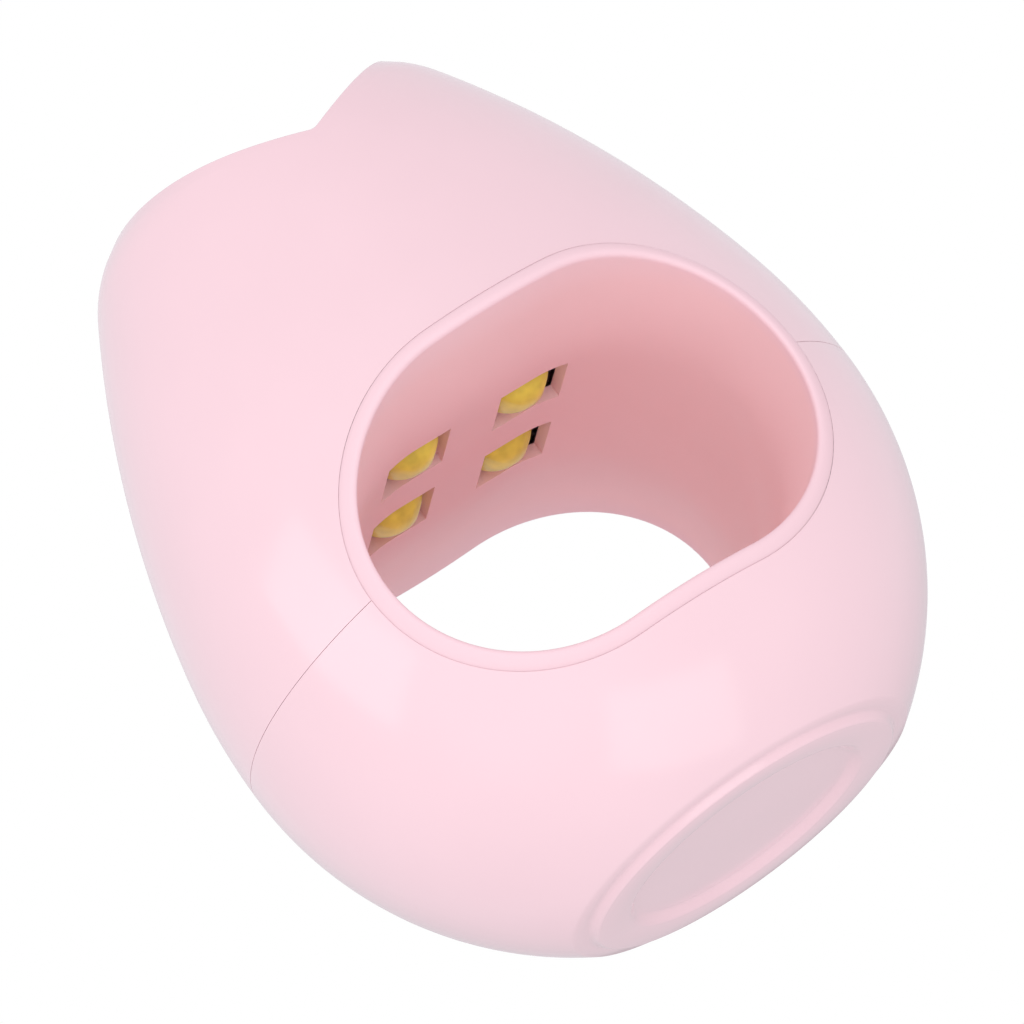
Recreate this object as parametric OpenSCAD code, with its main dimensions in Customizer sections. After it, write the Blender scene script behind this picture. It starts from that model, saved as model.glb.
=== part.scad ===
// Egg-shaped finger lamp for curing nail gel.
// An upper and a lower shell clamp a tunnel liner. Four light emitters shine down through windows in
// the liner's ceiling. The control board hangs in the upper shell, under a push button that sits in
// the saddle between two ears. +Z is up, the tunnel runs along Y and the front is at -Y. The origin is
// on the resting plane, on the body's axis.

/* [Body] */
// Widest diameter of the body
body_w = 80; // [78:0.5:82]
// Height of the widest section, of the seam between the shells and of the tunnel's middle
belly_z = 36; // [35.5:0.25:36.5]
// Thickness of both shells
wall = 2; // [1.6:0.1:2.2]
// Profile radius below the belly
lower_arc_r = 43; // [42:0.5:44]
// Profile radius just above the belly
upper_arc_r = 68; // [66:1:70]
// Profile radius of the long taper towards the top
taper_arc_r = 126; // [122:1:130]
// Profile radius where the taper turns in to close the crown
crown_arc_r = 14; // [13:0.5:15]
// Height where the upper arc passes into the taper
shoulder_z = 50; // [49:0.5:51]
// Height where the taper passes into the crown
crown_z = 88.5; // [88:0.25:89]
// Gap between the two shells at the seam
seam_gap = 0.2; // [0.1:0.05:0.3]

/* [Ears] */
// Height of the saddle's bottom line before it is filleted
saddle_z = 85.75; // [85.5:0.25:86.5]
// Rise of the saddle towards each ear, in degrees
ear_slope = 23.7; // [22:0.1:25]
// Fillet radius along the bottom of the saddle
saddle_fillet = 4; // [3:0.5:5]

/* [Base] */
// Outer radius of the foot ring
foot_outer_r = 19.8; // [19:0.1:20.2]
// Inner radius of the foot ring
foot_inner_r = 14.9; // [14:0.1:15.5]
// How far the foot ring stands below the body
foot_h = 0.9; // [0.7:0.1:1.2]

/* [Tunnel] */
// Radius of the tunnel's rounded sides at each mouth
mouth_r = 18.4; // [18:0.1:18.6]
// Half of the tunnel's straight ceiling
straight_half = 7.8; // [7.5:0.1:8]
// How much tighter the throat is than the mouths, all round
throat_inset = 1.6; // [1.2:0.1:1.8]
// Half length of the even throat
throat_half = 12.5; // [12:0.5:13]
// Half length at which the flare has opened to the mouth's size
flare_end = 29; // [28:0.5:30]
// Thickness of the liner's wall
liner_wall = 1.5; // [1.3:0.1:1.6]
// Width of the lip round each mouth
lip_w = 1.9; // [1.8:0.1:2.1]
// How far the lip stands proud of the shells
lip_proud = 0.4; // [0.3:0.1:0.5]
// Gap between the lip and the shells
lip_gap = 0.15; // [0.1:0.05:0.2]

/* [Lights] */
// Side of each square window in the ceiling
window_side = 8.6; // [8.4:0.1:8.8]
// Spacing of the windows, both ways
window_pitch = 15.3; // [15:0.1:15.6]
// Spacing of the emitters across the tunnel
emitter_pitch_x = 14.7; // [14.5:0.1:15]
// Width of each emitter's dome across its straight sides
dome_side = 7.2; // [7:0.1:7.3]
// Height of each emitter's dome
dome_h = 2.5; // [2.3:0.1:2.6]
// Side of each emitter's package
package_side = 7.4; // [7.4:0.1:7.6]
// Thickness of each emitter's package
package_h = 0.9; // [0.8:0.1:1]

/* [Boards] */
// Width of the emitter board
light_board_w = 36; // [35.5:0.5:36]
// Length of the emitter board
light_board_l = 32; // [31:0.5:32]
// Thickness of both boards
board_t = 1.6; // [1.5:0.1:1.6]
// Height of the control board's lower face
control_z = 62.5; // [62.3:0.1:62.7]
// Half width of the control board
control_half_w = 16; // [15.5:0.5:16.5]
// Front edge of the control board
control_front = 20; // [19.5:0.5:20.5]
// Rear edge of the control board
control_rear = 29.4; // [29:0.1:29.5]

/* [Button] */
// Radius of the button's cap
button_r = 6.1; // [6:0.05:6.2]
// Height of the button's crown at rest
button_top_z = 87.3; // [87:0.1:87.5]
// Clearance round the button and at its upper stop
button_gap = 0.25; // [0.2:0.05:0.3]

/* [Hidden] */
$fn = 96;
far = 120;                                   // longer than any part of the lamp
eps = 0.01;
body_r = body_w / 2;

// Centres and joining angles of the body's four profile arcs, each tangent to the next
lower_c = [body_r - lower_arc_r, belly_z];
foot_a = -asin(belly_z / lower_arc_r);
upper_c = [body_r - upper_arc_r, belly_z];
shoulder_a = asin((shoulder_z - belly_z) / upper_arc_r);
taper_c = upper_c + (upper_arc_r - taper_arc_r) * [cos(shoulder_a), sin(shoulder_a)];
crown_a = asin((crown_z - taper_c[1]) / taper_arc_r);
crown_c = taper_c + (taper_arc_r - crown_arc_r) * [cos(crown_a), sin(crown_a)];
arc_step = 2.5;

// Tunnel and liner
throat_r = mouth_r - throat_inset;
lip_r = mouth_r + lip_w;
flange_r = lip_r + 2;
flange_t = 1.4;
lip_depth = 5;
ceiling_z = belly_z + throat_r;
tray_z = ceiling_z + liner_wall;

// Emitters: the dome starts level with the top of the liner
package_z = tray_z - 0.05;
dome_foot_r = 0.5625 * dome_side;
dome_ball_r = (dome_foot_r ^ 2 + dome_h ^ 2) / (2 * dome_h);
light_board_z = package_z + package_h;
light_screw = [light_board_w / 2 - 3, light_board_l / 2 - 2.6];
screw_r = 1;
screw_head_r = 1.9;
screw_head_h = 1.3;

// Control board and what stands on it
control_top = control_z + board_t;
control_round_r = 30.8;
control_posts = [[-12, -15], [12, -15], [-12, 20.5], [12, 20.5]];
post_r = 2.6;
switch_side = 6;
switch_h = 3.3;
cover_t = 0.3;
plunger_r = 1.7;
plunger_top = control_top + switch_h + cover_t + 1.1;
usb_w = 8.9;
usb_h = 3.2;
usb_len = 7.3;
usb_front_y = 31;
usb_z = control_top + usb_h / 2;
usb_window = [12.4, 6.6];
timer_size = [3.9, 4.9, 1.45];
timer_at = [9, 4];
driver_size = [3, 4.4, 1.4];
driver_at = [10, -6.5];
capacitor_at = [-10, 7];

// Button
stem_r = 2.3;
flange_z = 77.6;
button_flange_r = 7.9;
button_flange_h = 1.2;
collar_r = 8.4;
collar_z = flange_z + button_flange_h + button_gap;

// Wires
wire_r = 0.65;
wire_pitch = 2.5;
plug_front_y = -15.5;
plug_z = light_board_z + board_t + 2.3;
wire_bend_r = 2.6;

// ---- shared shapes ----

// Points along an arc from angle a0 to a1, without the first
function arc(c, r, a0, a1) =
    let (n = ceil((a1 - a0) / arc_step))
    [for (k = [1:n]) let (a = a0 + (a1 - a0) * k / n) c + r * [cos(a), sin(a)]];

// Half section of the body, grown outwards by grow
function outline(grow) =
    let (
        foot = lower_c + (lower_arc_r + grow) * [cos(foot_a), sin(foot_a)],
        top = crown_c[1] + crown_arc_r + grow
    )
    concat(
        [[0, foot[1]], foot],
        arc(lower_c, lower_arc_r + grow, foot_a, 0),
        arc(upper_c, upper_arc_r + grow, 0, shoulder_a),
        arc(taper_c, taper_arc_r + grow, shoulder_a, crown_a),
        arc(crown_c, crown_arc_r + grow, crown_a, 90),
        [[0, top]]
    );

module egg(grow = 0) {
    rotate_extrude() polygon(outline(grow));
}

module disc(centre, radius) {
    translate(centre) circle(r = radius);
}

// Everything below the saddle: two planes that rise to the ears from a filleted valley
module below_saddle(lower = 0) {
    bottom = saddle_z - lower / cos(ear_slope);
    tangent_x = saddle_fillet * sin(ear_slope);
    centre_z = bottom + saddle_fillet / cos(ear_slope);
    rotate([90, 0, 0]) translate([0, 0, -far / 2]) linear_extrude(height = far) {
        polygon([
            [-far / 2, -1], [far / 2, -1],
            [far / 2, bottom + far / 2 * tan(ear_slope)],
            [0, bottom],
            [-far / 2, bottom + far / 2 * tan(ear_slope)]
        ]);
        difference() {
            polygon([
                [0, bottom - 1],
                [tangent_x, bottom + tangent_x * tan(ear_slope)],
                [-tangent_x, bottom + tangent_x * tan(ear_slope)]
            ]);
            disc([0, centre_z], saddle_fillet);
        }
    }
}

// Half height of the tunnel's bore along its length: an even throat that flares to both mouths
function bore_points(grow) = [
    [mouth_r + grow, -far / 2], [mouth_r + grow, -flare_end], [throat_r + grow, -throat_half],
    [throat_r + grow, throat_half], [mouth_r + grow, flare_end], [mouth_r + grow, far / 2]
];

// A level slot along Y, with a half round at each side, whose half height is given as
// [half height, y] points
module slot(points) {
    last = len(points) - 1;
    half_section = concat([[0, points[0][1]]], points, [[0, points[last][1]]]);
    floor = [for (p = points) [p[1], -p[0]]];
    roof = [for (i = [last:-1:0]) [points[i][1], points[i][0]]];
    translate([0, 0, belly_z]) {
        for (side = [-1, 1])
            translate([side * straight_half, 0, 0])
                rotate([-90, 0, 0])
                    rotate([0, 0, -90 * side])
                        rotate_extrude(angle = 180) polygon(half_section);
        translate([-straight_half, 0, 0])
            rotate([90, 0, 90])
                linear_extrude(height = 2 * straight_half)
                    polygon(concat(floor, roof));
    }
}

module even_slot(radius) {
    slot([[radius, -far / 2], [radius, far / 2]]);
}

module bore(grow = 0) {
    slot(bore_points(grow));
}

module box(size, centre_xy, bottom) {
    translate([centre_xy[0] - size[0] / 2, centre_xy[1] - size[1] / 2, bottom]) cube(size);
}

module rod(radius, bottom, top, at = [0, 0]) {
    translate([at[0], at[1], bottom]) cylinder(r = radius, h = top - bottom);
}

module at_emitters(pitch_x) {
    for (x = [-1, 1] * pitch_x / 2, y = [-1, 1] * window_pitch / 2) translate([x, y, 0]) children();
}

module at_light_screws() {
    for (x = [-1, 1] * light_screw[0], y = [-1, 1] * light_screw[1]) translate([x, y, 0]) children();
}

module at_control_posts() {
    for (p = control_posts) translate([p[0], p[1], 0]) children();
}

// ---- housing ----

module body_outside() {
    intersection() {
        egg();
        below_saddle();
    }
}

module body_inside() {
    intersection() {
        egg(-wall);
        below_saddle(wall);
    }
}

// Four hooks hang from the upper shell and catch under ledges in the lower one
module at_hooks() {
    for (turn = [0, 180], y = [-5, 5]) translate([0, y, belly_z]) rotate([0, 0, turn]) children();
}

module shell_hooks() {
    hook_x = body_r - wall - 3.1;
    intersection() {
        egg(-wall / 2);
        at_hooks() translate([hook_x, -1.5, -4]) cube([1.4, 3, 24]);
    }
    at_hooks() translate([hook_x, -1.5, -4]) cube([2.2, 3, 1.2]);
}

module hook_ledges() {
    intersection() {
        egg(-wall / 2);
        at_hooks() translate([body_r - wall - 1.4, -2, -2.5]) cube([3, 4, 1.2]);
    }
}

module level_band(bottom, top) {
    translate([-far / 2, -far / 2, bottom]) cube([far, far, top - bottom]);
}

// Rim of the lower shell that reaches up inside the upper one and lines them up
module locating_rim() {
    difference() {
        union() {
            intersection() {
                egg(-wall - 0.15);
                level_band(belly_z - 4, belly_z + 2);
            }
            intersection() {
                egg(-wall / 2);
                level_band(belly_z - 4, belly_z - 0.5);
            }
        }
        egg(-wall - 1.15);
        even_slot(flange_r + 0.4);
        at_hooks() translate([0, -2.5, -5]) cube([far, 5, 10]);
    }
}

module upper_shell() {
    color("pink") {
        difference() {
            union() {
                difference() {
                    body_outside();
                    body_inside();
                }
                intersection() {
                    egg(-wall / 2);
                    below_saddle(wall / 2);
                    union() {
                        rod(collar_r, collar_z, far);
                        at_control_posts() rod(post_r, control_top, far);
                    }
                }
            }
            level_band(-1, belly_z + seam_gap / 2);
            even_slot(lip_r + lip_gap);
            rod(button_r + button_gap, 0, far);
            at_control_posts() rod(screw_r, control_top - eps, control_top + 6);
            translate([-usb_window[0] / 2, usb_front_y - 4, usb_z - usb_window[1] / 2])
                cube([usb_window[0], 20, usb_window[1]]);
        }
        shell_hooks();
    }
}

module lower_shell() {
    floor_z = foot_h + wall;
    color("lightpink") {
        difference() {
            union() {
                intersection() {
                    egg();
                    level_band(foot_h, belly_z - seam_gap / 2);
                }
                rod(foot_outer_r, 0, foot_h + eps);
            }
            rod(foot_inner_r, -1, foot_h);
            intersection() {
                egg(-wall);
                level_band(floor_z, far);
            }
            even_slot(lip_r + lip_gap);
        }
        hook_ledges();
        locating_rim();
    }
}

// Tunnel with a lip outside each mouth and a flange just inside the shells
module tunnel_liner() {
    boss_r = 2.4;
    color("rosybrown") difference() {
        union() {
            intersection() {
                bore(liner_wall);
                egg(-wall);
            }
            difference() {
                intersection() {
                    even_slot(lip_r);
                    egg(lip_proud);
                }
                egg(-lip_depth);
            }
            difference() {
                intersection() {
                    even_slot(flange_r);
                    egg(-wall - 0.2);
                }
                egg(-wall - 0.2 - flange_t);
            }
            at_light_screws() rod(boss_r, ceiling_z - 2, light_board_z);
        }
        bore();
        at_emitters(window_pitch)
            box([window_side, window_side, 6], [0, 0], ceiling_z - 3);
        at_light_screws() rod(screw_r - 0.15, light_board_z - 2.4, light_board_z + eps);
    }
}

// ---- emitters ----

module light_board() {
    color("silver") difference() {
        box([light_board_w, light_board_l, board_t], [0, 0], light_board_z);
        at_light_screws() rod(screw_r + 0.2, light_board_z - 1, light_board_z + 3);
    }
}

module screw(seat_z, length) {
    rod(screw_head_r, seat_z, seat_z + screw_head_h);
    rod(screw_r - 0.15, seat_z - length, seat_z + eps);
}

module light_board_screws() {
    seat_z = light_board_z + board_t;
    color("gray") at_light_screws() difference() {
        screw(seat_z, board_t + 2.3);
        for (turn = [0, 90])
            translate([0, 0, seat_z + screw_head_h]) rotate([0, 0, turn]) cube([2.6, 0.5, 1.2], center = true);
    }
}

module emitter_packages() {
    color("white") at_emitters(emitter_pitch_x)
        box([package_side, package_side, package_h], [0, 0], package_z);
}

module emitter_domes() {
    color("gold") at_emitters(emitter_pitch_x) intersection() {
        translate([0, 0, package_z - dome_h + dome_ball_r]) sphere(r = dome_ball_r);
        box([dome_side, dome_side, dome_h], [0, 0], package_z - dome_h);
    }
}

module light_header() {
    color("white") difference() {
        box([7.4, 5.6, 4.4], [0, plug_front_y + 6.2], light_board_z + board_t);
        box([6, 4.6, 3.2], [0, plug_front_y + 5.2], light_board_z + board_t + 0.7);
    }
}

module light_plug() {
    color("ivory") difference() {
        box([5.8, 5, 3], [0, plug_front_y + 4.9], light_board_z + board_t + 0.8);
        for (x = [-1, 1] * wire_pitch / 2)
            translate([x, plug_front_y + 2.3, plug_z]) rotate([-90, 0, 0]) cylinder(r = wire_r, h = 2.1);
    }
}

// A lead from the plug that bends up to the control board's lower face
module wire(x) {
    bend_y = plug_front_y + 0.6;
    translate([x, bend_y, plug_z]) {
        rotate([-90, 0, 0]) cylinder(r = wire_r - 0.02, h = 3.7);
        translate([0, 0, wire_bend_r])
            rotate([0, 90, 0])
                rotate([0, 0, -90])
                    rotate_extrude(angle = 90) translate([wire_bend_r, 0]) circle(r = wire_r - 0.02);
    }
    rod(wire_r - 0.02, plug_z + wire_bend_r, control_z, [x, bend_y - wire_bend_r]);
}

module red_wire() {
    color("red") wire(-wire_pitch / 2);
}

module black_wire() {
    color("dimgray") wire(wire_pitch / 2);
}

// ---- control board ----

module control_board() {
    color("seagreen") difference() {
        intersection() {
            rod(control_round_r, control_z, control_top);
            box([2 * control_half_w, control_front + control_rear, far],
                [0, (control_rear - control_front) / 2], 0);
        }
        at_control_posts() rod(screw_r + 0.2, control_z - 1, control_top + 1);
    }
}

module control_board_screws() {
    color("gray") at_control_posts() {
        difference() {
            rod(screw_head_r, control_z - screw_head_h, control_z);
            for (turn = [0, 90])
                translate([0, 0, control_z - screw_head_h])
                    rotate([0, 0, turn]) cube([2.6, 0.5, 1.2], center = true);
        }
        rod(screw_r - 0.02, control_z - eps, control_top + 5);
    }
}

module switch_body() {
    color("dimgray") difference() {
        box([switch_side, switch_side, switch_h], [0, 0], control_top);
        rod(plunger_r + 0.25, control_top + 1.8, far);
    }
}

module switch_cover() {
    color("silver") difference() {
        box([switch_side - 0.3, switch_side - 0.3, cover_t], [0, 0], control_top + switch_h);
        rod(plunger_r + 0.15, control_top, far);
    }
}

module switch_plunger() {
    color("white") rod(plunger_r, control_top + 2.5, plunger_top);
}

module switch_legs() {
    color("silver") for (x = [-1, 1], y = [-1, 1] * 2.25) {
        box([1.3, 0.7, 0.3], [x * (switch_side / 2 + 0.65), y], control_top);
        box([0.3, 0.7, 1.2], [x * (switch_side / 2 + 0.15), y], control_top);
    }
}

module usb_outline(grow) {
    r = usb_h / 2 + grow;
    translate([-(usb_w - usb_h) / 2, 0]) circle(r = r);
    translate([(usb_w - usb_h) / 2, 0]) circle(r = r);
    square([usb_w - usb_h, 2 * r], center = true);
}

module usb_shell() {
    color("silver") translate([0, usb_front_y, usb_z]) rotate([90, 0, 0]) difference() {
        linear_extrude(height = usb_len) usb_outline(0);
        translate([0, 0, -1]) linear_extrude(height = usb_len + 0.4) usb_outline(-0.3);
    }
}

module usb_tongue() {
    color("dimgray") union() {
        box([usb_w - 2.3, usb_len - 1.4, 0.7], [0, usb_front_y - usb_len / 2 + 0.1], usb_z - 0.35);
        box([usb_w - 3.2, 1.2, usb_h - 0.7], [0, usb_front_y - usb_len + 1.2], usb_z - usb_h / 2 + 0.35);
    }
}

module usb_contacts() {
    color("gold") for (side = [-1, 1], i = [0:7])
        box([0.26, 3.6, 0.08], [(i - 3.5) * 0.6, usb_front_y - 3], usb_z + side * 0.39 - 0.04);
}

// A moulded chip with rows of gull-wing legs along both long sides
module chip(size, at) {
    color("dimgray") box(size, at, control_top + 0.15);
}

module chip_legs(size, at, count, pitch) {
    color("silver") for (side = [-1, 1], i = [0:count - 1]) {
        y = at[1] + (i - (count - 1) / 2) * pitch;
        box([0.6, 0.4, 0.15], [at[0] + side * (size[0] / 2 + 0.6), y], control_top);
        box([0.3, 0.4, 0.75], [at[0] + side * (size[0] / 2 + 0.15), y], control_top);
    }
}

module timer_chip() {
    chip(timer_size, timer_at);
}

module timer_chip_legs() {
    chip_legs(timer_size, timer_at, 4, 1.27);
}

module driver_chip() {
    chip(driver_size, driver_at);
}

module driver_chip_legs() {
    chip_legs(driver_size, driver_at, 3, 1.4);
}

module filter_capacitor() {
    color("silver") difference() {
        rod(3.15, control_top + 0.8, control_top + 5.6, capacitor_at);
        translate([capacitor_at[0], capacitor_at[1], control_top + 1.7])
            rotate_extrude() translate([3.35, 0]) circle(r = 0.4);
    }
}

module filter_capacitor_base() {
    color("dimgray") box([6.6, 6.6, 0.8], capacitor_at, control_top);
}

module ceramic_capacitors() {
    color("tan") for (at = [[8, 10], [11.5, 10], [8, 16]])
        box([1.25, 2, 0.9], at, control_top);
}

module sense_resistors() {
    color("dimgray") for (i = [0:3])
        box([1.6, 3.2, 0.6], [-13 + i * 2.4, -5], control_top);
}

module input_diode() {
    color("dimgray") union() {
        box([2.6, 4.3, 2], [-7, 15], control_top + 0.1);
        for (side = [-1, 1]) box([1.4, 0.8, 0.3], [-7, 15 + side * 2.4], control_top);
    }
}

// ---- button ----

// Cap that comes up through the collar in the saddle, with a flange below it and a stem on the switch
module power_button() {
    crown_r = 40;
    core_r = 4.8;
    core_top = button_top_z - 2.4;
    color("hotpink") difference() {
        union() {
            intersection() {
                rod(button_r, flange_z, button_top_z);
                translate([0, 0, button_top_z - crown_r]) sphere(r = crown_r);
            }
            rod(button_flange_r, flange_z, flange_z + button_flange_h);
            rod(stem_r, plunger_top + 0.05, flange_z + 1);
        }
        difference() {
            rod(core_r, flange_z - 1, core_top);
            rod(stem_r, 0, far);
        }
    }
}

upper_shell();
lower_shell();
tunnel_liner();
power_button();
light_board();
light_board_screws();
emitter_packages();
emitter_domes();
light_header();
light_plug();
red_wire();
black_wire();
control_board();
control_board_screws();
switch_body();
switch_cover();
switch_plunger();
switch_legs();
usb_shell();
usb_tongue();
usb_contacts();
timer_chip();
timer_chip_legs();
driver_chip();
driver_chip_legs();
filter_capacitor();
filter_capacitor_base();
ceramic_capacitors();
sense_resistors();
input_diode();
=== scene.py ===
"""Egg-shaped finger lamp for curing nail gel, dressed around its CAD frame."""
import math

import bmesh
import bpy
from mathutils import Matrix, Vector


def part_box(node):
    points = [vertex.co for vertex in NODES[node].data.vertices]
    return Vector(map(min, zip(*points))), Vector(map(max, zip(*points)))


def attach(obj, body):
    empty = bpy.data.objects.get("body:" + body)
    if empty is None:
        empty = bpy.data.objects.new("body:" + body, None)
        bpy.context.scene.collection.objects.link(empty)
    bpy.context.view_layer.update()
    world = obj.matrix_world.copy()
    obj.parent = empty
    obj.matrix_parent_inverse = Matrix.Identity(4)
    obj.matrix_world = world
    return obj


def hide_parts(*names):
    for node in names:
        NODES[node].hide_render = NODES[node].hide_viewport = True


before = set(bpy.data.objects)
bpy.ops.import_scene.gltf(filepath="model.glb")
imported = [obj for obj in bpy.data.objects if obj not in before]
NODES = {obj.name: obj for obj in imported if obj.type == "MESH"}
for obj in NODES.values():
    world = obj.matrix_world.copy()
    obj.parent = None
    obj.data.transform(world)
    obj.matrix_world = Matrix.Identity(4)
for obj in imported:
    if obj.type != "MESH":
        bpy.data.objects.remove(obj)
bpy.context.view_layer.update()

MM = 0.001


def node_box(node):
    """Lowest and highest corner of a CAD node, in millimetres."""
    low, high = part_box(node)
    return Vector(low) / MM, Vector(high) / MM


# ---- sizes, in millimetres ----
# Places come from the frame, and radii repeat the CAD's own. The saddle's fillet, the seam and
# the gap round the lips are tighter than the CAD's, and the foot's slopes are softer.

_, upper_high = node_box("upper_shell")
dome_low, dome_high = node_box("emitter_domes")
pack_low, pack_high = node_box("emitter_packages")
button_low, button_high = node_box("power_button")

# the body: radii of its profile from the bottom up, and the heights where they change
BODY_R = upper_high.x
BELLY_Z = 36.0
LOWER_R, UPPER_R, TAPER_R, CROWN_R = 43.0, 68.0, 126.0, 14.0
SHOULDER_Z, CROWN_Z = 50.0, 88.5
WALL = 2.0
SEAM_HALF = 0.03

# the saddle between the ears, and the rounding of the ears' rims
SADDLE_Z, SADDLE_FILLET = 85.75, 1.4
EAR_SLOPE = math.radians(23.7)
RIM_ROUND, RIM_INSET = 1.15, 1.5
SHELL_SMOOTH = 34

# the raised ring under the body, with soft slopes outside and inside
FOOT_H, FOOT_OUTER, FOOT_INNER = 0.9, 19.8, 14.9
BASE_EDGE = 0.35
HUB_R = 0.05

# the tunnel: a slot with a straight part STRAIGHT to each side and round ends
STRAIGHT = 7.8
MOUTH_R, THROAT_R = 18.4, 16.8
THROAT_HALF, FLARE_END = 12.5, 29.0
LINER_T = 1.5
LIP_R, LIP_PROUD, LIP_SUNK = 20.3, 0.4, 0.08
LIP_FADE = 1.8
HOLE_R = LIP_R + 0.02
FLANGE_R, FLANGE_T, FLANGE_GAP = 22.3, 1.4, 0.2
WINDOW, WINDOW_PITCH = 8.6, 15.3
WINDOW_NEAR = WINDOW_PITCH / 2 - WINDOW / 2
WINDOW_FAR = WINDOW_PITCH / 2 + WINDOW / 2

LENS_HALF = 3.6

BUTTON_R = 6.1
BORE_R = BUTTON_R + 0.25
COLLAR_R, COLLAR_Z = 8.4, 79.05


def smooth_step(t):
    """0 up to 0, 1 from 1 on, and an S-curve between."""
    t = min(max(t, 0), 1)
    return t * t * (3 - 2 * t)


# ---- the body's profile ----

def profile_arcs():
    """The profile above the belly, as (axis distance, height, radius, height where it ends)."""
    arcs = [(BODY_R - UPPER_R, BELLY_Z, UPPER_R, SHOULDER_Z)]
    for radius, end in ((TAPER_R, CROWN_Z), (CROWN_R, None)):
        cx, cz, last, joint = arcs[-1]
        angle = math.asin((joint - cz) / last)
        cx += (last - radius) * math.cos(angle)
        cz += (last - radius) * math.sin(angle)
        arcs.append((cx, cz, radius, end or cz + radius))
    return arcs


ARCS = profile_arcs()


def body_radius(z, inset=0.0):
    """Radius of the body's outside at height z, or of a surface that far inside it."""
    if z <= BELLY_Z:
        reach = LOWER_R - inset
        return BODY_R - LOWER_R + math.sqrt(max(reach ** 2 - (z - BELLY_Z) ** 2, 0))
    for cx, cz, radius, end in ARCS:
        reach = radius - inset
        joint = cz + (end - cz) * reach / radius
        if z <= joint or end == ARCS[-1][3]:
            return cx + math.sqrt(max(reach ** 2 - (z - cz) ** 2, 0))
    return 0.0


def saddle(x, drop=0.0):
    """Height of the saddle at x, or of a surface that far below it, square to it."""
    x = abs(x)
    bottom = SADDLE_Z - drop / math.cos(EAR_SLOPE)
    radius = SADDLE_FILLET
    if x < radius * math.sin(EAR_SLOPE):
        return bottom + radius / math.cos(EAR_SLOPE) - math.sqrt(radius ** 2 - x ** 2)
    return bottom + x * math.tan(EAR_SLOPE)


def solve(low, high, value):
    """Where value() changes sign between low, where it is negative, and high."""
    for _ in range(40):
        middle = (low + high) / 2
        if value(middle) < 0:
            low = middle
        else:
            high = middle
    return (low + high) / 2


def rim_height(theta, inset=0.0):
    """Height at which the body's side meets the saddle."""
    top = ARCS[-1][1] + CROWN_R - inset - 0.01
    return solve(80, top, lambda z: z - saddle(body_radius(z, inset) * math.cos(theta), inset))


# ---- mesh helpers ----

def new_object(name, mesh):
    obj = bpy.data.objects.new(name, mesh)
    bpy.context.scene.collection.objects.link(obj)
    return obj


def mesh_object(name, points, faces, smooth_angle=35):
    """A mesh from points in millimetres, smooth but for edges sharper than smooth_angle."""
    mesh = bpy.data.meshes.new(name)
    mesh.from_pydata([Vector(p) * MM for p in points], [], faces)
    mesh.validate()
    work = bmesh.new()
    work.from_mesh(mesh)
    bmesh.ops.remove_doubles(work, verts=work.verts, dist=0.002 * MM)
    bmesh.ops.recalc_face_normals(work, faces=work.faces)
    work.to_mesh(mesh)
    work.free()
    mesh.shade_smooth()
    mesh.set_sharp_from_angle(angle=math.radians(smooth_angle))
    return new_object(name, mesh)


def grid_faces(rows, columns, loop_rows=False, skip=()):
    """Quads between rows of points, each row a closed ring of columns."""
    faces = []
    for i in range(rows if loop_rows else rows - 1):
        j = (i + 1) % rows
        for k in range(columns):
            if (i, k) in skip:
                continue
            m = (k + 1) % columns
            faces.append((i * columns + k, i * columns + m, j * columns + m, j * columns + k))
    return faces


def apply_modifiers(obj):
    """Replaces the object's mesh by the one that its modifiers make."""
    bpy.context.view_layer.update()
    seen = obj.evaluated_get(bpy.context.evaluated_depsgraph_get())
    mesh = bpy.data.meshes.new_from_object(seen)
    obj.modifiers.clear()
    obj.data = mesh
    return obj


def bevel(obj, width, segments, angle=40, by_weight=False):
    """Rounds the edges sharper than angle, or those with a bevel weight."""
    mod = obj.modifiers.new("edge_round", "BEVEL")
    mod.width = width * MM
    mod.segments = segments
    mod.limit_method = "WEIGHT" if by_weight else "ANGLE"
    mod.angle_limit = math.radians(angle)


def lathe(name, outline, steps, smooth_angle):
    """A solid of revolution about the z axis, from (radius, height) pairs that close on it."""
    inner = outline[1:-1]
    turns = [2 * math.pi * k / steps for k in range(steps)]
    points = [polar(turn, radius, z) for radius, z in inner for turn in turns]
    faces = grid_faces(len(inner), steps)
    for ring, (_, z) in ((0, outline[0]), (len(inner) - 1, outline[-1])):
        points.append((0, 0, z))
        hub = len(points) - 1
        faces += [(hub, ring * steps + k, ring * steps + (k + 1) % steps) for k in range(steps)]
    return mesh_object(name, points, faces, smooth_angle)


def polar(theta, radius, z):
    return (radius * math.cos(theta), radius * math.sin(theta), z)


def blend(a, b, share):
    return a + (b - a) * share


def eased(count, power=1.0):
    """Shares from 0 to 1 that close up towards 1 as power grows."""
    return [1 - (1 - k / count) ** power for k in range(count + 1)]


def fillet(centre, radius, start, end, steps):
    """Points on an arc about centre, from angle start to end in degrees."""
    angles = [math.radians(start + (end - start) * k / steps) for k in range(steps + 1)]
    return [(centre[0] + radius * math.cos(a), centre[1] + radius * math.sin(a)) for a in angles]


def rounded_outline(half_w, half_h, corner, at=(0, 0)):
    """Points round a rectangle with rounded corners."""
    outline = []
    for sx, sy, start in ((1, 1, 0), (-1, 1, 90), (-1, -1, 180), (1, -1, 270)):
        centre = (at[0] + sx * (half_w - corner), at[1] + sy * (half_h - corner))
        outline += fillet(centre, corner, start, start + 90, 8)
    return outline


# ---- materials ----

def node_material(name, color, roughness, **sockets):
    """A Principled material, with its sockets set by name."""
    mat = bpy.data.materials.new(name)
    mat.use_nodes = True
    shader = mat.node_tree.nodes["Principled BSDF"]
    shader.inputs["Base Color"].default_value = (*color, 1)
    shader.inputs["Roughness"].default_value = roughness
    for key, value in sockets.items():
        shader.inputs[key.replace("_", " ")].default_value = value
    return mat


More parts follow.
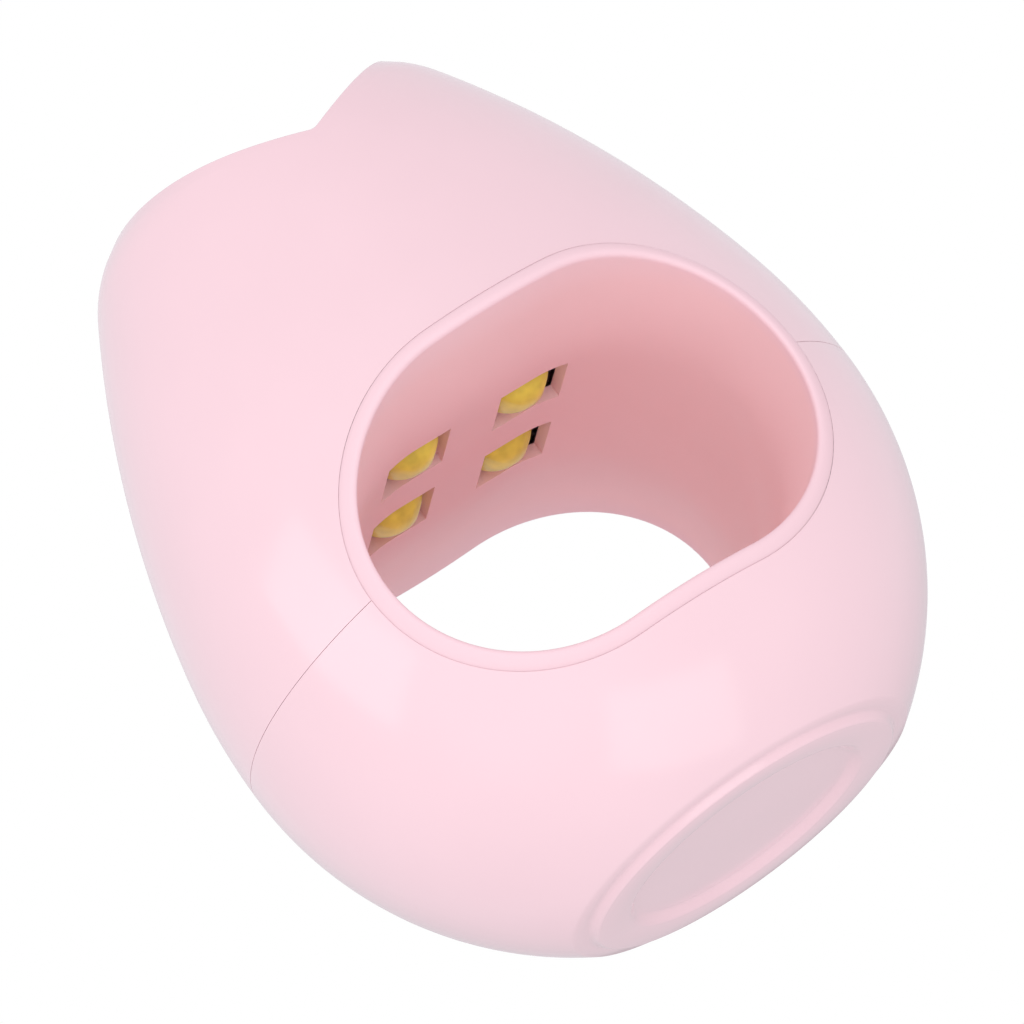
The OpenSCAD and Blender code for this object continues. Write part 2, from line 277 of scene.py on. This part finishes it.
def noise(mat, scale, detail, stretch=(1, 1, 1)):
    """A noise texture in object space, scale in waves per metre."""
    nodes, links = mat.node_tree.nodes, mat.node_tree.links
    place = nodes.new("ShaderNodeTexCoord")
    size = nodes.new("ShaderNodeMapping")
    size.inputs["Scale"].default_value = stretch
    wave = nodes.new("ShaderNodeTexNoise")
    wave.inputs["Scale"].default_value = scale
    wave.inputs["Detail"].default_value = detail
    links.new(place.outputs["Object"], size.inputs["Vector"])
    links.new(size.outputs["Vector"], wave.inputs["Vector"])
    return wave.outputs["Fac"]


def ramp(mat, value, low, high):
    """Turns a 0 to 1 value into a number between low and high."""
    span = mat.node_tree.nodes.new("ShaderNodeMapRange")
    span.inputs["From Min"].default_value = 0.3
    span.inputs["From Max"].default_value = 0.7
    span.inputs["To Min"].default_value = low
    span.inputs["To Max"].default_value = high
    mat.node_tree.links.new(value, span.inputs["Value"])
    return span.outputs["Result"]


def vary_color(mat, value, color_a, color_b):
    """Runs the base colour from one colour to the other with a 0 to 1 value."""
    mix = mat.node_tree.nodes.new("ShaderNodeValToRGB")
    mix.color_ramp.elements[0].position = 0.3
    mix.color_ramp.elements[1].position = 0.7
    mix.color_ramp.elements[0].color = (*color_a, 1)
    mix.color_ramp.elements[1].color = (*color_b, 1)
    mat.node_tree.links.new(value, mix.inputs["Fac"])
    link_shader(mat, mix.outputs["Color"], "Base Color")


def link_shader(mat, output, socket):
    shader = mat.node_tree.nodes["Principled BSDF"]
    mat.node_tree.links.new(output, shader.inputs[socket])


def bump(mat, value, height):
    """Bumps the surface by height millimetres over the texture's range."""
    node = mat.node_tree.nodes.new("ShaderNodeBump")
    node.inputs["Strength"].default_value = 1.0
    node.inputs["Distance"].default_value = height * MM
    mat.node_tree.links.new(value, node.inputs["Height"])
    link_shader(mat, node.outputs["Normal"], "Normal")


def shade(color, factor):
    return tuple(min(c * factor, 1) for c in color)


def moulded_plastic(name, color, roughness, grain=9000, spread=0.015, cloud=45, **sockets):
    """Moulded plastic with a faint cloudiness, uneven gloss and fine surface texture."""
    mat = node_material(name, color, roughness, **sockets)
    vary_color(mat, noise(mat, cloud, 2), shade(color, 1 - spread), shade(color, 1 + spread))
    link_shader(mat, ramp(mat, noise(mat, 160, 4), roughness * 0.88, roughness * 1.12), "Roughness")
    bump(mat, noise(mat, grain, 2), 0.0012)
    return mat


def fade_painted_shade_at_lip(mat, color):
    """Fades the base colour's painted shade out to the given colour where the mesh's lip attribute
    rises to 1.
    """
    nodes, links = mat.node_tree.nodes, mat.node_tree.links
    share = nodes.new("ShaderNodeAttribute")
    share.attribute_name = "lip"
    mix = nodes.new("ShaderNodeMix")
    mix.data_type = "RGBA"
    # the liner's base colour, which carries the painted shade
    inside = nodes["Principled BSDF"].inputs["Base Color"].links[0].from_socket
    factor, color_a, color_b = mix.inputs[0], mix.inputs[6], mix.inputs[7]
    links.new(share.outputs["Fac"], factor)
    links.new(inside, color_a)
    color_b.default_value = (*color, 1)
    link_shader(mat, mix.outputs[2], "Base Color")


def metal(name, color, roughness, brush=(1, 14, 1)):
    """Brushed metal, its streaks thinnest along the axis where brush is largest."""
    mat = node_material(name, color, roughness, Metallic=1.0)
    streaks = noise(mat, 1400, 3, brush)
    link_shader(mat, ramp(mat, streaks, roughness * 0.7, roughness * 1.3), "Roughness")
    vary_color(mat, noise(mat, 500, 2), shade(color, 0.93), shade(color, 1.04))
    bump(mat, streaks, 0.002)
    return mat


PINK = (0.895, 0.630, 0.678)
shell_mat = moulded_plastic(
    "pink_gloss", PINK, 0.42, Specular_IOR_Level=0.15, Coat_Weight=1.0, Coat_Roughness=0.15,
)
# the liner is the shell's pink; its redder, deeper colour is painted shade and inter-reflection for
# the tunnel's inside, faded back to the shell's pink at the lips
liner_painted_shade_mat = moulded_plastic("pink_liner_painted_shade", (0.955, 0.650, 0.665), 0.45, Specular_IOR_Level=0.08)
fade_painted_shade_at_lip(liner_painted_shade_mat, PINK)
button_mat = moulded_plastic("pink_button", (0.90, 0.54, 0.63), 0.3)
black_mat = moulded_plastic("moulded_black", (0.022, 0.022, 0.024), 0.5, spread=0.2)
white_mat = moulded_plastic("connector_white", (0.80, 0.78, 0.70), 0.45, spread=0.04)
ceramic_mat = moulded_plastic("package_white", (0.83, 0.79, 0.68), 0.42, spread=0.03)
red_mat = moulded_plastic("wire_red", (0.55, 0.02, 0.02), 0.38, spread=0.08)
wire_black_mat = moulded_plastic("wire_black", (0.02, 0.02, 0.02), 0.38, spread=0.1)
tan_mat = moulded_plastic("capacitor_tan", (0.42, 0.29, 0.17), 0.5, spread=0.12)
steel_mat = metal("steel", (0.66, 0.66, 0.67), 0.32)
tin_mat = metal("tin", (0.74, 0.74, 0.72), 0.38)
gold_mat = metal("gold", (0.90, 0.66, 0.28), 0.24)
aluminium_mat = metal("aluminium", (0.82, 0.82, 0.83), 0.34, (1, 1, 8))
dome_mat = moulded_plastic(
    "dome_silicone", (0.82, 0.73, 0.09), 0.34, grain=5000, spread=0.16,
    cloud=420, Coat_Weight=0.35, Coat_Roughness=0.12,
)
board_mat = moulded_plastic("solder_mask", (0.015, 0.13, 0.05), 0.32, spread=0.12)


def dress(obj, mat):
    """Gives the object one material, in place of any that it has."""
    obj.data.materials.clear()
    obj.data.materials.append(mat)
    for polygon in obj.data.polygons:
        polygon.material_index = 0


def finish_piece(obj, mat, body, node):
    """Gives a new piece its material and body, and hides the CAD node that it takes the place of.
    """
    dress(obj, mat)
    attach(obj, body)
    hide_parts(node)


# ---- shells ----

def hole_edge(up):
    """A quarter of the tunnel hole's edge as (x, z), from the seam up (1) or down (-1) to x = 0."""
    edge = []
    arc_steps, flat_steps = 32, 20
    for k in range(arc_steps + 1):
        a = math.pi / 2 * k / arc_steps
        edge.append((STRAIGHT + HOLE_R * math.cos(a), BELLY_Z + up * HOLE_R * math.sin(a)))
    for k in range(1, flat_steps + 1):
        edge.append((STRAIGHT * (1 - k / flat_steps), BELLY_Z + up * HOLE_R))
    return [p for p in edge if (p[1] - BELLY_Z) * up >= SEAM_HALF * 2]


def seam_columns(up):
    """A quarter shell's edge, as (angle, height) of its outside and then of its inside."""
    z_seam = BELLY_Z + up * SEAM_HALF
    corner = STRAIGHT + math.sqrt(HOLE_R ** 2 - SEAM_HALF ** 2)
    outer_corner = math.acos(corner / body_radius(z_seam))
    inner_corner = math.acos(corner / body_radius(z_seam, WALL))
    columns = []
    for share in eased(22):
        columns.append((outer_corner * share, z_seam, inner_corner * share, z_seam))
    for x, z in hole_edge(up):
        outer = math.acos(min(x / body_radius(z), 1))
        inner = math.acos(min(x / body_radius(z, WALL), 1))
        columns.append((outer, z, inner, z))
    return columns


def full_turn(columns):
    """The columns of one quarter, mirrored round the whole body."""
    turn = list(columns)
    turn += [(math.pi - o, z, math.pi - i, w) for o, z, i, w in reversed(columns[:-1])]
    turn += [(math.pi + o, z, math.pi + i, w) for o, z, i, w in columns[1:]]
    turn += [(2 * math.pi - o, z, 2 * math.pi - i, w) for o, z, i, w in reversed(columns[1:-1])]
    return turn


def upper_shell_skin():
    """Rings up the outside, over the saddle into the button's bore, and back along the inside."""
    columns = full_turn(seam_columns(1))
    rims = [rim_height(c[0]) for c in columns]
    inner_rims = [rim_height(c[0], WALL) for c in columns]
    rows = []
    for share in eased(54, 1.35):
        rows.append([
            polar(o, body_radius(z := blend(b, t - RIM_INSET, share)), z)
            for (o, b, _, _), t in zip(columns, rims)
        ])
    rim = [polar(o, body_radius(t), t) for (o, _, _, _), t in zip(columns, rims)]
    rows.append(rim)
    for saddle_share in eased(25):
        row = []
        for (o, _, _, _), t in zip(columns, rims):
            edge = body_radius(t)
            share = blend(RIM_INSET / (edge - BORE_R), 1, saddle_share)
            radius = blend(edge, BORE_R, share)
            row.append(polar(o, radius, saddle(radius * math.cos(o))))
        rows.append(row)
    bore_edge = rows[-1]
    for share in (0.25, 0.6, 1.0):
        rows.append([
            polar(o, BORE_R, blend(saddle(BORE_R * math.cos(o)), COLLAR_Z, share))
            for o, _, _, _ in columns
        ])
    rows.append([polar(o, COLLAR_R, COLLAR_Z) for o, _, _, _ in columns])
    for share in (0.0, 0.3, 0.6, 0.95):
        row = []
        for (o, _, _, _), t in zip(columns, inner_rims):
            radius = blend(COLLAR_R, body_radius(t, WALL), share)
            row.append(polar(o, radius, saddle(radius * math.cos(o), WALL)))
        rows.append(row)
    for share in eased(24)[1:]:
        row = []
        for (o, b, i, _), t in zip(columns, inner_rims):
            z = blend(t, b, share)
            row.append(polar(blend(o, i, share), body_radius(z, WALL), z))
        rows.append(row)
    points = [p for row in rows for p in row]
    faces = grid_faces(len(rows), len(columns), loop_rows=True)
    shell = mesh_object("upper_shell_skin", points, faces, SHELL_SMOOTH)
    # the rims are crisp by the middle of the saddle and rounder towards the ears' tips
    mark_ring(shell, rim, lambda x: 0.2 + 0.8 * smooth_step((abs(x) - 12) / 16))
    mark_ring(shell, bore_edge, lambda x: 0.4)
    bevel(shell, RIM_ROUND, 5, by_weight=True)
    return apply_modifiers(shell)


def mark_ring(obj, ring, weight):
    """Gives each edge along a ring of points the bevel weight for its x."""
    name = "bevel_weight_edge"
    layer = obj.data.attributes.get(name) or obj.data.attributes.new(name, "FLOAT", "EDGE")
    ring = {tuple(round(c, 2) for c in p) for p in ring}
    keys = [tuple(round(c / MM, 2) for c in v.co) for v in obj.data.vertices]
    for edge in obj.data.edges:
        first, second = (keys[k] for k in edge.vertices)
        if first in ring and second in ring:
            layer.data[edge.index].value = weight((first[0] + second[0]) / 2)


def foot_section():
    """The underside's section as (radius, height), from its middle to the body's lower edge."""
    inner_slope, outer_slope = 1.6, 1.04
    section = [(HUB_R, FOOT_H), (FOOT_INNER - 1.6, FOOT_H)]
    for share in eased(8):
        radius = FOOT_INNER - 0.95 + inner_slope * share
        section.append((radius, FOOT_H * (1 - smooth_step(share))))
    for share in eased(8):
        section.append((FOOT_OUTER - 0.5 + outer_slope * share, FOOT_H * smooth_step(share)))
    edge_r = body_radius(FOOT_H + BASE_EDGE)
    return section + [(FOOT_OUTER + 0.9, FOOT_H + 0.06), (edge_r - BASE_EDGE, FOOT_H + 0.1)]


def lower_shell_skin():
    """Rings out along the underside, up the outside, and down the inside."""
    columns = full_turn(seam_columns(-1))
    rows = [[polar(o, radius, z) for o, _, _, _ in columns] for radius, z in foot_section()]
    for share in eased(46):
        rows.append([
            polar(o, body_radius(z := blend(FOOT_H + BASE_EDGE, b, share)), z)
            for o, b, _, _ in columns
        ])
    floor_z = FOOT_H + WALL
    for share in eased(23):
        row = []
        for o, b, i, _ in columns:
            z = blend(b, floor_z, share)
            row.append(polar(blend(i, o, share), body_radius(z, WALL), z))
        rows.append(row)
    rows.append([polar(o, HUB_R, floor_z) for o, _, _, _ in columns])
    points = [p for row in rows for p in row]
    count = len(columns)
    faces = grid_faces(len(rows), count)
    faces.append(tuple(range(count)))
    faces.append(tuple(range((len(rows) - 1) * count, len(rows) * count)))
    return mesh_object("lower_shell_skin", points, faces, 40)


# ---- tunnel ----

def throat_radius(y):
    """Half height of the bore at y."""
    share = (abs(y) - THROAT_HALF) / (FLARE_END - THROAT_HALF)
    return THROAT_R + (MOUTH_R - THROAT_R) * smooth_step(share)


def slot_columns():
    """Points round the slot, as (x of the round end's centre, turn from straight up)."""
    flat = sorted({round(k * 1.3 - STRAIGHT, 4) for k in range(13)} | {WINDOW_NEAR, -WINDOW_NEAR})
    window_turn = math.asin((WINDOW_FAR - STRAIGHT) / THROAT_R)
    turns = sorted([math.pi * k / 66 for k in range(1, 66)] + [window_turn])
    turns = [t for t in turns if t == window_turn or abs(t - window_turn) > 0.01]
    columns = [(x, 0.0) for x in flat]
    columns += [(STRAIGHT, t) for t in turns]
    columns += [(x, math.pi) for x in reversed(flat)]
    columns += [(-STRAIGHT, 2 * math.pi - t) for t in reversed(turns)]
    return columns


def slot_point(column, radius):
    x, turn = column
    return (x + radius * math.sin(turn), BELLY_Z + radius * math.cos(turn))


def mouth_y(x, z, proud):
    """How far from the middle the body's surface is at x and z, or one that far outside it."""
    return math.sqrt(max(body_radius(z, -proud) ** 2 - x ** 2, 0))


def bead():
    """The lip's section as (radius, height over the body), from beside the shell into the bore."""
    half = (LIP_R - MOUTH_R) / 2
    middle = (LIP_R + MOUTH_R) / 2
    steps = 18
    section = [(LIP_R, -3.0), (LIP_R, -1.2), (LIP_R, -0.5)]
    for k in range(1, steps):
        a = math.pi * k / steps
        rise = LIP_PROUD + LIP_SUNK if k < steps / 2 else half
        section.append((middle + half * math.cos(a), LIP_PROUD - rise + rise * math.sin(a)))
    return section + [(MOUTH_R, LIP_PROUD - half), (MOUTH_R - 0.02, -0.9)]


def stations():
    """The places along the tunnel where its wall has a ring of points."""
    window_edges = [s * edge for s in (-1, 1) for edge in (WINDOW_NEAR, WINDOW_FAR)]
    flares = [s * y for s in (-1, 1) for y in (13, 15, 17.5, 20, 22.5, 25, 27.5)]
    waist = [k * 1.5 for k in range(-8, 9)]
    return [y for y in sorted(set(window_edges + flares + waist))
            if y in window_edges or all(abs(y - edge) > 0.3 for edge in window_edges)]


def bore_point(column, y):
    x, z = slot_point(column, throat_radius(y))
    return (x, y, z)


def outer_point(column, y):
    """A point on the liner's outside, straight above the bore's own point over the windows."""
    radius = throat_radius(y) + LINER_T
    x, z = slot_point(column, radius)
    if column[1] < 0.3 or column[1] > 6.0:
        x = bore_point(column, y)[0]
        z = BELLY_Z + math.sqrt(radius ** 2 - max(abs(x) - STRAIGHT, 0) ** 2)
    return (x, y, z)


def in_window(a, b):
    """Whether a span from a to b, across or along the tunnel, is within a window's."""
    near, far = sorted((abs(a), abs(b)))
    return a * b > 0 and near > WINDOW_NEAR - 1e-6 and far < WINDOW_FAR + 1e-6


def in_ceiling(column):
    return column[1] < 1 or column[1] > 5.5


def tunnel_skin():
    """Rings in at the front lip, along the bore, out at the rear lip and back along the outside."""
    columns = slot_columns()
    count = len(columns)
    ys = stations()
    rows = []

    def add_rings(side, section):
        for radius, proud in section:
            points = [slot_point(c, radius) for c in columns]
            rows.append([(x, side * mouth_y(x, z, proud), z) for x, z in points])

    flange_top = -WALL - FLANGE_GAP
    flange = [(LIP_R, flange_top), (FLANGE_R, flange_top), (FLANGE_R, flange_top - FLANGE_T)]
    add_rings(-1, bead())
    inner_row = {y: len(rows) + k for k, y in enumerate(ys)}
    rows += [[bore_point(c, y) for c in columns] for y in ys]
    add_rings(1, reversed(bead()))
    add_rings(1, flange)
    outer_row = {y: len(rows) + k for k, y in enumerate(reversed(ys))}
    rows += [[outer_point(c, y) for c in columns] for y in reversed(ys)]
    add_rings(-1, reversed(flange))

    across = [slot_point(c, THROAT_R)[0] for c in columns]
    open_faces, borders = set(), {}
    for a, b in zip(ys, ys[1:]):
        for k in range(count):
            m = (k + 1) % count
            ceiling = in_ceiling(columns[k]) and in_ceiling(columns[m])
            if ceiling and in_window(a, b) and in_window(across[k], across[m]):
                open_faces |= {(inner_row[a], k), (outer_row[b], k)}
                ring = ((a, k), (a, m), (b, m), (b, k))
                for edge in zip(ring, ring[1:] + ring[:1]):
                    borders.setdefault(frozenset(edge), []).append(edge)
    # the windows' walls join the bore to the outside where only one open face has the edge
    walls = []
    for edges in borders.values():
        if len(edges) == 1:
            (ya, ka), (yb, kb) = edges[0]
            walls.append((inner_row[ya] * count + ka, inner_row[yb] * count + kb,
                          outer_row[yb] * count + kb, outer_row[ya] * count + ka))

    points = [p for row in rows for p in row]
    faces = grid_faces(len(rows), count, loop_rows=True, skip=open_faces) + walls
    skin = mesh_object("tunnel_skin", points, faces, 38)
    # the lip attribute is 1 at the body's surface and falls to 0 at LIP_FADE inside it; deeper than
    # that the liner keeps its painted shade
    lip = skin.data.attributes.new("lip", "FLOAT", "POINT")
    for vertex in skin.data.vertices:
        x, y, z = vertex.co / MM
        inside = body_radius(z) - math.hypot(x, y)
        lip.data[vertex.index].value = smooth_step(1 - inside / LIP_FADE)
    return skin


# ---- emitters ----

def emitter_places():
    """Centres of the four emitters."""
    middle = (dome_low + dome_high) / 2
    half_x = dome_high.x - middle.x - LENS_HALF
    half_y = dome_high.y - middle.y - LENS_HALF
    return [(middle.x + sx * half_x, middle.y + sy * half_y) for sx in (-1, 1) for sy in (-1, 1)]


def emitter_lens(name, at, half):
    """A low silicone lens on a rounded square foot, with short upright sides."""
    rings = 14
    side_h = 0.16
    foot = rounded_outline(half, half, 0.45 * half)
    height = dome_high.z - dome_low.z
    reach = 1.125 * half
    ball = (reach ** 2 + height ** 2) / (2 * height)

    def lens_z(distance):
        return dome_low.z + ball - math.sqrt(ball ** 2 - distance ** 2)

    rows = []
    for k in range(1, rings + 1):
        share = math.sin(math.pi / 2 * k / rings) * 0.97
        rows.append([(x * share, y * share, lens_z(min(math.hypot(x, y) * share, reach)))
                     for x, y in foot])
    rows.append([(x, y, min(lens_z(min(math.hypot(x, y), reach)) + side_h, dome_high.z))
                 for x, y in foot])
    rows.append([(x, y, dome_high.z) for x, y in foot])
    points = [(at[0] + x, at[1] + y, z) for row in rows for x, y, z in row]
    count = len(foot)
    faces = grid_faces(len(rows), count)
    points.append((at[0], at[1], dome_low.z))
    faces += [(len(points) - 1, k, (k + 1) % count) for k in range(count)]
    faces.append(tuple(range((len(rows) - 1) * count, len(rows) * count)))
    return mesh_object(name, points, faces, 40)


def rounded_box(name, low, high, radius):
    """A box with rounded edges, from its lowest and highest corner."""
    xs, ys, zs = zip(low, high)
    points = [(x, y, z) for z in zs for y in ys for x in xs]
    faces = [(0, 2, 3, 1), (4, 5, 7, 6), (0, 1, 5, 4), (1, 3, 7, 5), (3, 2, 6, 7), (2, 0, 4, 6)]
    box = mesh_object(name, points, faces, 60)
    bevel(box, radius, 3)
    box = apply_modifiers(box)
    box.data.shade_smooth()
    return box


def join(name, objects):
    """One object without materials from several, which it takes the place of."""
    work = bmesh.new()
    for obj in objects:
        work.from_mesh(obj.data)
        bpy.data.objects.remove(obj)
    mesh = bpy.data.meshes.new(name)
    work.to_mesh(mesh)
    work.free()
    return new_object(name, mesh)


# ---- button ----

def button_cap():
    """Domed cap with a rolled edge and a shallow ring, its flange and its stem."""
    low, top = button_low.z, button_high.z
    crown_r, edge, chamfer = 40.0, 0.45, 0.15
    stem_r, skirt_r, hollow_z = 2.3, 4.8, top - 2.5
    flange_r, flange_low, flange_high = button_high.x, 77.6, 78.8
    ring_depth, ring_edge = 0.14, 0.02

    def crown_z(radius):
        return top - (crown_r - math.sqrt(crown_r ** 2 - radius ** 2))

    outline = [(0, low), (stem_r - 0.2, low), (stem_r, low + 0.2), (stem_r, hollow_z)]
    outline += [(skirt_r - 0.1, hollow_z), (skirt_r, hollow_z - 0.2), (skirt_r, flange_low)]
    outline += [(flange_r - chamfer, flange_low), (flange_r, flange_low + chamfer)]
    outline += [(flange_r, flange_high - chamfer), (flange_r - chamfer, flange_high)]
    outline.append((BUTTON_R, flange_high))
    rolled = (BUTTON_R - edge, crown_z(BUTTON_R - edge) - edge)
    outline += fillet(rolled, edge, 0, 80, 6)
    for radius, depth in ((4.6, 0), (4.45, ring_edge), (4.3, ring_depth),
                          (4.05, ring_depth), (3.9, ring_edge), (3.75, 0),
                          (3.0, 0), (2.0, 0), (1.0, 0), (0.4, 0)):
        outline.append((radius, crown_z(radius) - depth))
    outline.append((0, top))
    return lathe("button_cap", outline, steps=96, smooth_angle=32)


# ---- inlet window ----

def cut_inlet_window(shell):
    """Cuts the power inlet's rounded window through the back of the upper shell."""
    usb_low, usb_high = node_box("usb_shell")
    middle = (usb_low + usb_high) / 2
    half_w, half_h, corner = 6.2, 3.3, 1.6
    outline = rounded_outline(half_w, half_h, corner, (middle.x, middle.z))
    front, rear = usb_high.y - 4, BODY_R + 5
    points = [(x, front, z) for x, z in outline] + [(x, rear, z) for x, z in outline]
    count = len(outline)
    faces = [tuple(range(count)), tuple(range(count, 2 * count))]
    faces += [(k, (k + 1) % count, count + (k + 1) % count, count + k) for k in range(count)]
    cutter = mesh_object("inlet_cutter", points, faces)
    mod = shell.modifiers.new("inlet", "BOOLEAN")
    mod.operation = "DIFFERENCE"
    mod.solver = "EXACT"
    mod.object = cutter
    shell = apply_modifiers(shell)
    bpy.data.objects.remove(cutter)
    return shell


# ---- pieces ----

upper = cut_inlet_window(upper_shell_skin())
upper.data.set_sharp_from_angle(angle=math.radians(SHELL_SMOOTH))
finish_piece(upper, shell_mat, "housing", "upper_shell")
finish_piece(lower_shell_skin(), shell_mat, "housing", "lower_shell")
finish_piece(tunnel_skin(), liner_painted_shade_mat, "housing", "tunnel_liner")
finish_piece(button_cap(), button_mat, "button", "power_button")

places = emitter_places()
domes = join("emitter_lens_set", [
    emitter_lens(f"lens_{k}", at, LENS_HALF) for k, at in enumerate(places)
])
finish_piece(domes, dome_mat, "housing", "emitter_domes")
pack_half = (pack_high.x - pack_low.x - (places[2][0] - places[0][0])) / 2
packages = join("emitter_package_set", [
    rounded_box(f"package_{k}", (x - pack_half, y - pack_half, pack_low.z),
                (x + pack_half, y + pack_half, pack_high.z), 0.12)
    for k, (x, y) in enumerate(places)
])
finish_piece(packages, ceramic_mat, "housing", "emitter_packages")

CAD_LOOKS = {
    "light_board": aluminium_mat, "light_board_screws": steel_mat, "light_header": white_mat,
    "light_plug": white_mat, "red_wire": red_mat, "black_wire": wire_black_mat,
    "control_board": board_mat, "control_board_screws": steel_mat, "switch_body": black_mat,
    "switch_cover": steel_mat, "switch_plunger": white_mat, "switch_legs": tin_mat,
    "usb_shell": steel_mat, "usb_tongue": black_mat, "usb_contacts": gold_mat,
    "timer_chip": black_mat, "timer_chip_legs": tin_mat, "driver_chip": black_mat,
    "driver_chip_legs": tin_mat, "filter_capacitor": aluminium_mat,
    "filter_capacitor_base": black_mat, "ceramic_capacitors": tan_mat,
    "sense_resistors": black_mat, "input_diode": black_mat,
}
for name, look in CAD_LOOKS.items():
    dress(NODES[name], look)
    bevel(NODES[name], 0.06, 2, angle=50)


# ---- stage, light and camera ----

def floor():
    """A pale floor that only shows from above, so that the lamp can be seen from below."""
    reach, z = 4000, -0.05
    points = [(-reach, -reach, z), (reach, -reach, z), (reach, reach, z), (-reach, reach, z)]
    plane = mesh_object("floor", points, [(0, 1, 2, 3)])
    mat = node_material("floor_pale", (0.86, 0.86, 0.86), 0.7)
    nodes, links = mat.node_tree.nodes, mat.node_tree.links
    side = nodes.new("ShaderNodeNewGeometry")
    path = nodes.new("ShaderNodeLightPath")
    keep = nodes.new("ShaderNodeMath")
    keep.operation = "SUBTRACT"
    keep.use_clamp = True
    clear = nodes.new("ShaderNodeBsdfTransparent")
    mix = nodes.new("ShaderNodeMixShader")
    links.new(path.outputs["Is Camera Ray"], keep.inputs[0])
    links.new(side.outputs["Backfacing"], keep.inputs[1])
    links.new(keep.outputs[0], mix.inputs[0])
    links.new(clear.outputs[0], mix.inputs[1])
    links.new(nodes["Principled BSDF"].outputs[0], mix.inputs[2])
    links.new(mix.outputs[0], nodes["Material Output"].inputs["Surface"])
    plane.data.materials.append(mat)
    if plane.data.polygons[0].normal.z < 0:
        plane.data.flip_normals()


def world_light():
    """White behind the lamp, and a cooler surround that is dimmer behind and below it."""
    world = bpy.data.worlds.new("studio")
    bpy.context.scene.world = world
    world.use_nodes = True
    nodes, links = world.node_tree.nodes, world.node_tree.links
    back = nodes["Background"]
    back.inputs["Color"].default_value = (0.965, 0.96, 1.0, 1)
    seen = nodes.new("ShaderNodeBackground")
    seen.inputs["Color"].default_value = (1, 1, 1, 1)
    seen.inputs["Strength"].default_value = 1.0
    place = nodes.new("ShaderNodeTexCoord")
    along = nodes.new("ShaderNodeVectorMath")
    along.operation = "DOT_PRODUCT"
    behind_below = Vector((0.32, 0.90, -0.30)).normalized()
    along.inputs[1].default_value = behind_below
    dim = nodes.new("ShaderNodeMapRange")
    dim.interpolation_type = "SMOOTHSTEP"
    dim.inputs["From Min"].default_value = 0.72
    dim.inputs["From Max"].default_value = 0.98
    dim.inputs["To Min"].default_value = 0.84
    dim.inputs["To Max"].default_value = 0.6
    links.new(place.outputs["Generated"], along.inputs[0])
    links.new(along.outputs["Value"], dim.inputs["Value"])
    links.new(dim.outputs["Result"], back.inputs["Strength"])
    path = nodes.new("ShaderNodeLightPath")
    mix = nodes.new("ShaderNodeMixShader")
    links.new(path.outputs["Is Camera Ray"], mix.inputs[0])
    links.new(back.outputs[0], mix.inputs[1])
    links.new(seen.outputs[0], mix.inputs[2])
    links.new(mix.outputs[0], nodes["World Output"].inputs["Surface"])


def soft_box(name, direction, along, distance, size, power):
    """A soft box that faces the lamp from a direction, its first side along another."""
    data = bpy.data.lights.new(name, "AREA")
    data.shape = "RECTANGLE"
    data.size, data.size_y = size[0] * MM, size[1] * MM
    data.energy = power
    lamp = bpy.data.objects.new(name, data)
    bpy.context.scene.collection.objects.link(lamp)
    aim = direction.normalized()
    across = aim.cross(along).normalized()
    turn = Matrix((across.cross(aim), across, aim)).transposed()
    lamp.matrix_world = Matrix.Translation((TARGET + aim * distance) * MM) @ turn.to_4x4()


# the view from the front and below, rolled to one side
AZIMUTH, BELOW, ROLL = math.radians(19.75), math.radians(15.75), math.radians(36.87)
TARGET = Vector((0, 0, 45))
DISTANCE = 1799.0
level_right = Vector((math.cos(AZIMUTH), -math.sin(AZIMUTH), 0))
forward = Vector((
    math.sin(AZIMUTH) * math.cos(BELOW), math.cos(AZIMUTH) * math.cos(BELOW), math.sin(BELOW),
))
level_up = level_right.cross(forward)
view_right = level_right * math.cos(ROLL) - level_up * math.sin(ROLL)
view_up = level_up * math.cos(ROLL) + level_right * math.sin(ROLL)


def camera():
    data = bpy.data.cameras.new("camera")
    data.sensor_width = 36
    data.lens = 583.2
    data.clip_start, data.clip_end = 0.1, 20
    data.shift_x, data.shift_y = 0.0068, 0.0021
    cam = bpy.data.objects.new("camera", data)
    bpy.context.scene.collection.objects.link(cam)
    turn = Matrix((view_right, view_up, -forward)).transposed()
    cam.matrix_world = Matrix.Translation((TARGET - forward * DISTANCE) * MM) @ turn.to_4x4()
    bpy.context.scene.camera = cam


def from_view(right, up, toward):
    """A direction given by how far it points right, up and towards the camera."""
    return view_right * right + view_up * up - forward * toward


floor()
world_light()
camera()
bpy.context.scene.view_settings.view_transform = "Standard"
soft_box("low_box", from_view(0.52, -0.60, 0.60), from_view(0.82, 0.39, -0.42),
         900, (620, 430), 0.85)
soft_box("side_box", from_view(-0.89, -0.28, 0.33), from_view(0.35, -0.70, 0.60),
         900, (680, 400), 1.0)
soft_box("front_box", from_view(-0.10, 0.20, 1.0), from_view(1, 0, 0),
         1400, (1500, 1500), 7.0)
